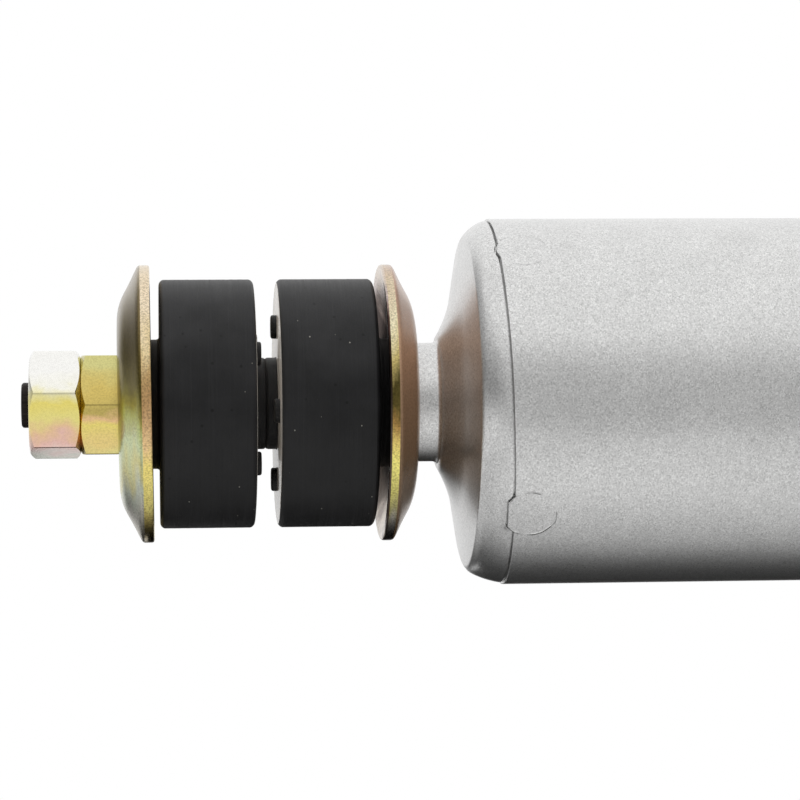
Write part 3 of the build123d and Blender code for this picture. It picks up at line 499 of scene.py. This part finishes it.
# Dust cap: deep-drawn steel, a flared dish with a rounded crest and a rim that steps into the tube
capLow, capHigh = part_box("dust_cap")
cap = {
    "bore": 8.0, "top": capHigh.z / mm, "thickness": 1.6, "hubRadius": 11.5, "hubSlope": 30.4,
    "dishSlope": 10.1, "dishRadius": 26.5, "crestRadius": 28.5, "crestRound": 1.4, "rimSlope": 36.0,
    "rimEndSlope": 73.0, "rimStep": 0.35, "rimWall": 0.1, "skirtGap": 0.02, "low": capLow.z / mm,
    "underDrop": 9.5, "underHub": 1.9, "skewReach": 3.0, "pushReach": 0.9, "steps": 360,
}


def makeDustCap():
    rim = tube["radius"] - cap["rimStep"]
    skirt = tube["radius"] - tube["wall"]
    flare = (cap["dishRadius"], cap["hubSlope"] - cap["dishSlope"])
    skin = trace((cap["bore"], cap["top"]), 0, [cap["hubRadius"] - cap["bore"]])
    skin += trace(skin[-1], -cap["hubSlope"], [flare], 1.5)[1:]
    slope = math.radians(cap["dishSlope"])
    skin += trace(skin[-1], -cap["dishSlope"], [(cap["crestRadius"] - skin[-1][0]) / math.cos(slope)])[1:]
    skin += trace(skin[-1], -cap["dishSlope"], [(cap["crestRound"], cap["dishSlope"] - cap["rimSlope"])], 4)[1:]
    rimWidth = math.sin(math.radians(cap["rimEndSlope"])) - math.sin(math.radians(cap["rimSlope"]))
    rimArc = ((rim - skin[-1][0]) / rimWidth, cap["rimSlope"] - cap["rimEndSlope"])
    skin += trace(skin[-1], -cap["rimSlope"], [rimArc], 3)[1:]
    stepZ = skin[-1][1] - cap["rimWall"]
    skin += [(rim, stepZ), (skirt - cap["skirtGap"], stepZ - 0.05), (skirt - cap["skirtGap"], cap["low"])]
    under = [(skirt - cap["thickness"], cap["low"]), (skirt - cap["thickness"], cap["top"] - cap["underDrop"]),
             (cap["hubRadius"], cap["top"] - cap["underHub"]), (cap["bore"], cap["top"] - cap["thickness"])]

    def skewed(r, z, angle):
        # the rim's end keeps its gap to the tube's edge all round
        if z < cap["low"] + 1 or r < cap["crestRadius"]:
            return r, z, angle
        share = max(0.0, min(1.0, 1 - (z - stepZ) / cap["skewReach"]))
        close = max(0.0, min(1.0, 1 - (z - stepZ) / cap["pushReach"]))
        return r, z - share * lipSkew(angle) + close * lipPush(angle), angle

    bm = turned(skin + under, cap["steps"], skewed)
    newPiece("dustCap", bm, silver, "rod", "silver_paint", "dust_cap", sharp=40)


# Collar between the cap and the inner cup washer, painted over with the cap
collarLow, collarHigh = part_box("stem_collar")
collar = {"radius": collarHigh.x / mm, "low": collarLow.z / mm, "high": collarHigh.z / mm, "bore": 8.0,
          "round": 0.3, "filletRound": 1.3, "sink": 0.35, "steps": 180}


def makeCollar():
    fillet = collar["filletRound"]
    radius = collar["radius"]
    foot = collar["low"] - collar["sink"]
    profile = trace((radius + fillet, foot), 180, [(fillet, -90)])
    profile += trace((radius, collar["high"] - collar["round"]), 90, [(collar["round"], 90)])
    profile += [(collar["bore"], collar["high"]), (collar["bore"], foot)]
    newPiece("stemCollar", turned(profile, collar["steps"]), silver, "rod", "silver_paint", "stem_collar")


makeDustTube()
makeDustCap()
makeCollar()
print("dust cover made")


# Cup washers: pressed dishes with a flat crown, a sheared rim and a burr on the inner side
cup = {"radius": 24.0, "thickness": 2.3, "bore": 5.2, "crownRadius": 14.3, "turn": 30.0,
       "shoulder": 10.0, "rimSlope": 23.0, "edge": 0.4, "burr": 0.12, "faceShare": 0.3, "outerLean": -0.7,
       "steps": 300}


def cupProfile():
    flat = cup["crownRadius"] - cup["bore"]
    points = trace((cup["bore"], 0), 0, [flat, (cup["shoulder"], cup["turn"])], 3)
    run = cup["radius"] - points[-1][0]
    ease = run / (math.sin(math.radians(cup["turn"])) - math.sin(math.radians(cup["rimSlope"])))
    points += trace(points[-1], cup["turn"], [(ease, cup["rimSlope"] - cup["turn"])], 2)[1:]
    back = []
    for i, (r, z) in enumerate(points):
        before = points[max(0, i - 1)]
        after = points[min(len(points) - 1, i + 1)]
        along = Vector((after[0] - before[0], after[1] - before[1])).normalized()
        back.append((r - along.y * cup["thickness"], z + along.x * cup["thickness"]))
    edgeLow, edgeHigh = points[-1], (cup["radius"], back[-1][1])
    e = cup["edge"]
    rim = [(cup["radius"] - e, edgeLow[1] - cup["burr"]), (cup["radius"] - 0.3 * e, edgeLow[1] + 0.1),
           (cup["radius"], edgeLow[1] + e), (cup["radius"], edgeHigh[1] - e),
           (cup["radius"] - 0.3 * e, edgeHigh[1] - 0.3 * e), (cup["radius"] - e, edgeHigh[1])]
    inner = [p for p in reversed(back) if p[0] < cup["radius"] - e - 0.2]
    return points[:-1] + rim + [p for p in inner if p[0] > cup["bore"]] + [(cup["bore"], cup["thickness"])]


def makeCupWasher(name, cadNode, crownZ, side, leanDegrees, rimZinc, domeZinc, cupZinc):
    profile = [(r, crownZ + side * z) for r, z in cupProfile()]
    bm = turned(profile, cup["steps"])
    bmesh.ops.recalc_face_normals(bm, faces=bm.faces)
    for face in bm.faces:
        # the dome's film outside, the cup's colours inside (on the inner washer a painted reflection of the black
        # bush), the rim's on the sheared edge
        facing = face.normal.z * side
        face.material_index = 1 if facing < -cup["faceShare"] else 2 if facing > cup["faceShare"] else 0
    tilt = Euler((0, math.radians(leanDegrees), 0)).to_matrix().to_4x4()
    lean = Matrix.Translation((0, 0, crownZ * mm)) @ tilt
    bmesh.ops.transform(bm, matrix=lean @ Matrix.Translation((0, 0, -crownZ * mm)), verts=bm.verts)
    newPiece(name, bm, rimZinc, "rod", "yellow_zinc", cadNode, sharp=40, others=(domeZinc, cupZinc))


makeCupWasher("innerCupWasher", "inner_cup_washer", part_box("inner_cup_washer")[0].z / mm, 1, 0.0,
              zinc["inner washer"], zinc["inner washer dome"], zinc["inner washer cup"])
makeCupWasher("outerCupWasher", "outer_cup_washer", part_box("outer_cup_washer")[1].z / mm, -1, cup["outerLean"],
              zinc["outer washer"], zinc["outer washer dome"], zinc["outer washer"])


# Stem bushes: turned rubber discs, a large boss outwards, a small one inwards and four moulded nubs
bush = {"radius": 21.55, "disc": 16.3, "corner": 1.0, "outerBossRadius": 11.2, "outerBoss": 4.75,
        "innerBossRadius": 7.95, "innerBoss": 2.17, "nubs": 4, "nubRadius": 2.05, "nubHigh": 1.0,
        "nubRing": 13.3, "nubSteps": 28, "nubSink": 0.3, "bore": 5.0, "footRound": 0.4, "rootRound": 0.5,
        "tipRound": 0.7, "innerRoot": 0.3, "latheDeep": 0.04, "sideSteps": 40, "steps": 240}


def makeStemBush(name, cadNode, footZ, side, turn, swell=0.0):
    # side is 1 or -1, the way the inner face looks; swell moves that face out
    c = bush["corner"]
    r = bush["radius"]
    discLow = bush["outerBoss"]
    discHigh = discLow + bush["disc"] + swell
    foot, root, tip, inner = bush["footRound"], bush["rootRound"], bush["tipRound"], bush["innerRoot"]
    profile = [(bush["bore"], 0.0)] + trace((bush["outerBossRadius"] - foot, 0), 0, [(foot, 90)], 30)
    profile += trace((bush["outerBossRadius"], discLow - root), 90, [(root, -90)], 30)
    profile += trace((r - c, discLow), 0, [(c, 90)], 10)
    count = bush["sideSteps"]
    profile += [(r, discLow + c + (bush["disc"] - 2 * c) * i / count) for i in range(1, count)]
    profile += trace((r, discHigh - c), 90, [(c, 90)], 10)
    profile += trace((bush["innerBossRadius"] + inner, discHigh), 180, [(inner, -90)], 30)
    boss = trace((bush["innerBossRadius"], discHigh + bush["innerBoss"] - tip), 90, [(tip, 90)], 10)
    profile += boss + [(bush["bore"], boss[-1][1])]

    def lathed(radius, height, angle):
        if radius > r - 0.01:
            radius -= bush["latheDeep"] * (0.5 + 0.5 * noise.noise(Vector((height * 1.3, 3.0, turn))))
        return radius, height, angle

    bm = turned(profile, bush["steps"], lathed)
    for face in bm.faces:
        # the flat inner face takes the near-white painted glare
        face.material_index = int(abs(face.calc_center_median().z / mm - discHigh) < 0.05)
    for k in range(bush["nubs"]):
        angle = 2 * math.pi * k / bush["nubs"] + math.radians(turn)
        centre = Vector((math.cos(angle), math.sin(angle), 0)) * bush["nubRing"]
        wide, high, steps = bush["nubRadius"], bush["nubHigh"], bush["nubSteps"]
        rings = []
        for radius, height in ((wide, -bush["nubSink"]), (wide, high - 0.3), (wide - 0.1, high - 0.1),
                               (wide - 0.3, high)):
            rings.append([bm.verts.new((centre + Vector((radius * math.cos(a), radius * math.sin(a),
                                                         discHigh + height))) * mm)
                          for a in (2 * math.pi * i / steps for i in range(steps))])
        for lower, upper in zip(rings, rings[1:]):
            for i in range(steps):
                j = (i + 1) % steps
                bm.faces.new([lower[i], lower[j], upper[j], upper[i]])
        bm.faces.new(rings[-1])
        bm.faces.new(list(reversed(rings[0])))
    flip = Matrix.Diagonal((1, 1, side, 1))
    bmesh.ops.transform(bm, matrix=Matrix.Translation((0, 0, footZ * mm)) @ flip, verts=bm.verts)
    newPiece(name, bm, rubber, "rod", "rubber", cadNode, sharp=40, others=(rubberGlareFace,))


makeStemBush("innerBush", "inner_bush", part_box("inner_bush")[0].z / mm, 1, 0.0, 0.35)
makeStemBush("outerBush", "outer_bush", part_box("outer_bush")[1].z / mm, -1, 45.0)
print("stem hardware made")


# Nuts: hot-formed M10, chamfered at 30 degrees, zinc plated before assembly
nut = {"acrossFlats": 17.0, "faceShare": 0.97, "chamfer": 30.0, "cornerCut": 0.0875, "rings": 24,
       "bore": 5.05, "boreChamfer": 5.6, "boreDrop": 0.5, "faceRound": 0.2, "steps": 240}


def makeNut(name, cadNode, turn, bothEnds, finish):
    # turn in degrees about the stem; bothEnds chamfers the lower end too
    low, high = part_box(cadNode)
    z0, z1 = low.z / mm, high.z / mm
    half = nut["acrossFlats"] / 2
    face = half * nut["faceShare"]
    slope = math.tan(math.radians(nut["chamfer"]))
    steps = nut["steps"]
    bm = bmesh.new()
    rings = []

    def hexRadius(angle):
        # distance to the hexagon's side, its corners softened a little
        local = (angle - math.radians(turn) + math.pi / 6) % (math.pi / 3) - math.pi / 6
        plain = half / math.cos(local)
        corner = half / math.cos(math.pi / 6)
        return min(plain, corner - nut["cornerCut"])

    levels = [i / nut["rings"] for i in range(nut["rings"] + 1)]
    for k in range(steps):
        angle = 2 * math.pi * k / steps
        reach = hexRadius(angle)
        drop = max(0.0, reach - face) * slope
        start = z0 + drop if bothEnds else z0
        end = z1 - drop
        ring = [(nut["bore"], z0), (face - nut["faceRound"], z0), (face, z0 + (0.05 if bothEnds else 0.0))]
        ring += [(reach, start + (end - start) * s) for s in levels]
        ring += [(face, z1 - 0.03), (face - nut["faceRound"], z1), (nut["boreChamfer"], z1),
                 (nut["bore"], z1 - nut["boreDrop"])]
        rings.append([bm.verts.new((r * math.cos(angle) * mm, r * math.sin(angle) * mm, z * mm))
                      for r, z in ring])
    count = len(rings[0])
    for k in range(steps):
        here, there = rings[k], rings[(k + 1) % steps]
        for i in range(count):
            j = (i + 1) % count
            bm.faces.new([here[i], here[j], there[j], there[i]])
    bmesh.ops.remove_doubles(bm, verts=bm.verts, dist=1e-7)
    newPiece(name, bm, finish, "rod", "yellow_zinc", cadNode, sharp=25)


makeNut("stemNut", "stem_nut", 5, False, zinc["stem nut"])
makeNut("lockNut", "lock_nut", 18, True, zinc["lock nut"])


# Piston rod: ground and chromed, its stem rolled with an M10 x 1.25 thread
rodLow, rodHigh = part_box("piston_rod")
rod = {"radius": 8.0, "spigotRadius": 5.0, "grooveRadius": 7.4, "neckRadius": 4.5, "stemRadius": 5.0,
       "pitch": 1.25, "threadDeep": 0.72, "point": 1.5, "pointRadius": 3.9, "runIn": 3.0,
       "seat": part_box("stem_collar")[1].z / mm, "stepMm": 0.13, "steps": 96}


def makeRod():
    top = rodHigh.z / mm
    count = int((top - rod["seat"]) / rod["stepMm"])
    # spigot, shoulder and the rebound stop's groove follow the CAD rod
    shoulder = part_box("check_spring")[1].z / mm
    stopLow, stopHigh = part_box("rebound_stop")
    low = rodLow.z / mm
    wide, groove, spigot = rod["radius"], rod["grooveRadius"], rod["spigotRadius"]
    profile = [(0.0, low), (spigot - 1, low), (spigot, low + 1), (spigot, shoulder), (wide, shoulder),
               (wide, stopLow.z / mm), (groove, stopLow.z / mm), (groove, stopHigh.z / mm),
               (wide, stopHigh.z / mm), (wide, rod["seat"]), (rod["neckRadius"], rod["seat"])]
    profile += [(rod["stemRadius"], rod["seat"] + 0.3 + (top - rod["seat"] - 0.3) * i / count)
                for i in range(count + 1)]
    profile += [(0.0, top)]

    def threaded(r, z, angle):
        if z <= rod["seat"] + 0.2 or r == 0.0:
            return r, z, angle
        # straight flanks between a narrow flat crest and a narrow flat root
        turns = (z / rod["pitch"] - angle / (2 * math.pi)) % 1.0
        flank = abs(turns - 0.5) * 2
        depth = rod["threadDeep"] * min(1.0, max(0.0, 1.25 * flank - 0.12))
        start = min(1.0, (z - rod["seat"]) / rod["runIn"])
        # the thread runs out at 45 degrees into the plain point
        past = rod["point"] - (top - z)
        if past > 0:
            return rod["pointRadius"] - max(0.0, 0.3 - (top - z)), z, angle
        return min(rod["stemRadius"] - depth * start, rod["pointRadius"] - past), z, angle

    bm = turned(profile, rod["steps"], threaded)
    for face in bm.faces:
        face.material_index = int(face.calc_center_median().z / mm > rod["seat"])
    newPiece("pistonRod", bm, metals["hardChrome"], "rod", "chromed_rod", "piston_rod", sharp=40,
             others=(metals["phosphatedSteel"],))


makeRod()
print("nuts and rod made")


# Star springs of the two one-way valves: their CAD shapes, copied as they are
starSprings = {
    "intakeSpring": {"node": "intake_spring", "body": "cylinder", "joint": "intake_lift", "liftMm": 1.2},
    "checkSpring": {"node": "check_spring", "body": "rod", "joint": "check_lift", "liftMm": 0.9},
}


def makeStarSpring(name, values):
    node = nodes[values["node"]]
    bm = bmesh.new()
    bm.from_mesh(node.data)
    bmesh.ops.transform(bm, matrix=node.matrix_world, verts=bm.verts)
    bmesh.ops.remove_doubles(bm, verts=bm.verts, dist=1e-7)
    piece = newPiece(name, bm, metals["springSteel"], values["body"], "spring_steel", values["node"])
    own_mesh(piece)


for name, values in starSprings.items():
    makeStarSpring(name, values)
print("star springs made")


# CAD nodes that stay as they are, each with its own finish
finishes = {
    silver: ["lower_eye", "eye_weld", "base_cap", "base_weld", "reserve_tube"],
    rubber: ["eye_bush", "oil_seal", "guide_o_ring"],
    metals["drawnSteel"]: ["eye_sleeve", "pressure_tube", "base_valve_pin", "seal_washer", "rebound_stop",
                           "piston_nut", "rebound_seat"],
    metals["springSteel"]: ["intake_plate", "check_plate", "compression_discs", "rebound_discs",
                            "rebound_spring", "garter_spring"],
    metals["sinteredIron"]: ["base_valve_body", "piston", "rod_guide"],
    metals["tinBronze"]: ["guide_bush"],
    plastics["filledPtfe"]: ["piston_band"],
    plastics["castNylon"]: ["rebound_bumper"],
}
for material, names in finishes.items():
    for name in names:
        node = nodes[name]
        if not node.material_slots:
            node.data.materials.append(material)
        for materialSlot in node.material_slots:
            materialSlot.material = material
print("carried-over nodes dressed")


# Studio: white board under the eye and a white sweep around the part, with a broad light overhead, a weak one
# low in front, and a small one low behind for the nuts' lower flats to mirror
studio = {
    "floorGap": 0.0005, "floorSize": 1.5, "lampAim": (0, 0, 0.54),
    "key": {"at": (0.78, -0.14, 0.56), "size": (0.9, 0.7), "watts": 6.0, "mirrored": False},
    "fill": {"at": (-0.42, -0.46, 0.6), "size": (0.35, 0.8), "watts": 0.3, "mirrored": False},
    "under": {"at": (-0.229, 0.316, 0.617), "size": (0.12, 0.03), "watts": 0.01, "mirrored": True},
    "worldLight": 0.35,
    # white of the sweep, turning about the part from underneath behind it to overhead behind it
    "sweep": [
        (0.03, "#ffffff"), (0.055, "#000000"), (0.14, "#060606"), (0.18, "#484848"), (0.25, "#bcbcbc"),
        (0.36, "#f4f4f4"), (0.44, "#e8e8e8"), (0.48, "#c4c4c4"), (0.56, "#c4c4c4"), (0.63, "#fafafa"),
        (1.0, "#ffffff")],
    # past the stem's end the room is open: bright low down, dimmer a little above the stem, bright overhead
    "openEnd": {"from": 0.35, "to": 0.75, "level": [
        (0.2, "#d5d5d5"), (0.31, "#d2d2d2"), (0.37, "#ffffff"), (0.44, "#f4f4f4"), (0.5, "#bcbcbc"),
        (0.53, "#9c9c9c"), (0.57, "#6c6c6c"), (0.6, "#6c6c6c"), (0.65, "#a0a0a0"), (0.725, "#b3b3b3"),
        (0.78, "#d0d0d0"), (0.83, "#ffffff")]},
}


def makeFloor():
    half = studio["floorSize"] / 2
    z = cadLow.z - studio["floorGap"]
    bm = bmesh.new()
    corners = ((-half, -half, z), (half, -half, z), (half, half, z), (-half, half, z))
    bm.faces.new([bm.verts.new(corner) for corner in corners])
    mesh = bpy.data.meshes.new("floor")
    bm.to_mesh(mesh)
    bm.free()
    floor = bpy.data.objects.new("floor", mesh)
    bpy.context.scene.collection.objects.link(floor)
    material, tree = newMaterial("matt white board")
    grain = addNode(tree, "TexNoise", links={"Scale": 60.0, "Detail": 3.0})
    tone = addNode(tree, "ValToRGB", links={"Fac": grain.outputs["Fac"]}, stops=[
        (0.3, "#f6f6f6"), (0.7, "#fbfbfb")])
    shader = addNode(tree, "BsdfPrincipled", links={"Base Color": tone.outputs[0], "Roughness": 0.9})
    finishMaterial(tree, shader)
    mesh.materials.append(material)


def addSoftLight(name, values):
    light = bpy.data.lights.new(name, "AREA")
    light.shape = "RECTANGLE"
    light.size, light.size_y = values["size"]
    light.energy = values["watts"]
    lamp = bpy.data.objects.new(name, light)
    bpy.context.scene.collection.objects.link(lamp)
    lamp.location = values["at"]
    aim = Vector(studio["lampAim"]) - lamp.location
    lamp.rotation_euler = aim.to_track_quat("-Z", "Y").to_euler()
    lamp.visible_camera = False
    lamp.visible_glossy = values["mirrored"]


def makeWorld():
    world = bpy.data.worlds.new("white studio")
    bpy.context.scene.world = world
    world.use_nodes = True
    tree = world.node_tree
    tree.nodes.clear()
    coord = addNode(tree, "TexCoord")
    split = addNode(tree, "SeparateXYZ", links={"Vector": coord.outputs["Generated"]})
    away = addNode(tree, "Math", {"operation": "MULTIPLY"}, {0: split.outputs["Y"], 1: -1.0})
    turn = addNode(tree, "Math", {"operation": "ARCTAN2"}, {0: split.outputs["X"], 1: away.outputs[0]})
    share = addNode(tree, "MapRange", links={"Value": turn.outputs[0], "From Min": -math.pi, "From Max": math.pi})
    sweep = addNode(tree, "ValToRGB", links={"Fac": share.outputs[0]}, stops=studio["sweep"])
    openEnd = addNode(tree, "MapRange", {"interpolation_type": "SMOOTHSTEP"},
                      {"Value": split.outputs["Z"], "From Min": studio["openEnd"]["from"],
                       "From Max": studio["openEnd"]["to"]})
    rise = addNode(tree, "MapRange", links={"Value": split.outputs["X"], "From Min": -1.0, "From Max": 1.0})
    room = addNode(tree, "ValToRGB", links={"Fac": rise.outputs[0]}, stops=studio["openEnd"]["level"])
    level = addNode(tree, "Mix", {"data_type": "FLOAT"},
                    {"Factor": openEnd.outputs[0], "A": sweep.outputs[0], "B": room.outputs[0]})
    light = addNode(tree, "Math", {"operation": "MULTIPLY"}, {0: level.outputs[0], 1: studio["worldLight"]})
    # the camera sees the sweep white all round, and metal reflects it as it falls off into the room
    path = addNode(tree, "LightPath")
    white = addNode(tree, "Math", {"operation": "MAXIMUM"},
                    {0: path.outputs["Is Camera Ray"], 1: level.outputs[0]})
    mirrored = addNode(tree, "Math", {"operation": "MAXIMUM"},
                       {0: path.outputs["Is Glossy Ray"], 1: path.outputs["Is Transmission Ray"]})
    seen = addNode(tree, "Math", {"operation": "MAXIMUM"},
                   {0: path.outputs["Is Camera Ray"], 1: mirrored.outputs[0]})
    soft = addNode(tree, "Background", links={"Color": (1, 1, 1, 1), "Strength": light.outputs[0]})
    backdrop = addNode(tree, "Background", links={"Color": (1, 1, 1, 1), "Strength": white.outputs[0]})
    mix = addNode(tree, "MixShader", links={"Fac": seen.outputs[0], 1: soft.outputs[0], 2: backdrop.outputs[0]})
    out = tree.nodes.new("ShaderNodeOutputWorld")
    tree.links.new(mix.outputs[0], out.inputs["Surface"])


# Camera: level with the outer washer, a little above the stem, the stem pointing left
cameraSet = {"at": (0.0500, -0.5190, 0.5955), "aim": (0.0004, 0.0, 0.55175), "lens": 135.0}


def makeCamera():
    data = bpy.data.cameras.new("camera")
    data.lens = cameraSet["lens"]
    data.sensor_width = 36.0
    data.clip_start = 0.01
    data.dof.use_dof = False
    camera = bpy.data.objects.new("camera", data)
    bpy.context.scene.collection.objects.link(camera)
    place = Vector(cameraSet["at"])
    back = (place - Vector(cameraSet["aim"])).normalized()
    up = Vector((1, 0, 0))
    right = up.cross(back).normalized()
    up = back.cross(right)
    matrix = Matrix((right, up, back)).transposed().to_4x4()
    matrix.translation = place
    camera.matrix_world = matrix
    bpy.context.scene.camera = camera


makeFloor()
addSoftLight("keyLight", studio["key"])
addSoftLight("fillLight", studio["fill"])
addSoftLight("underLight", studio["under"])
makeWorld()
makeCamera()
bpy.context.scene.view_settings.view_transform = "Standard"
print("studio made")
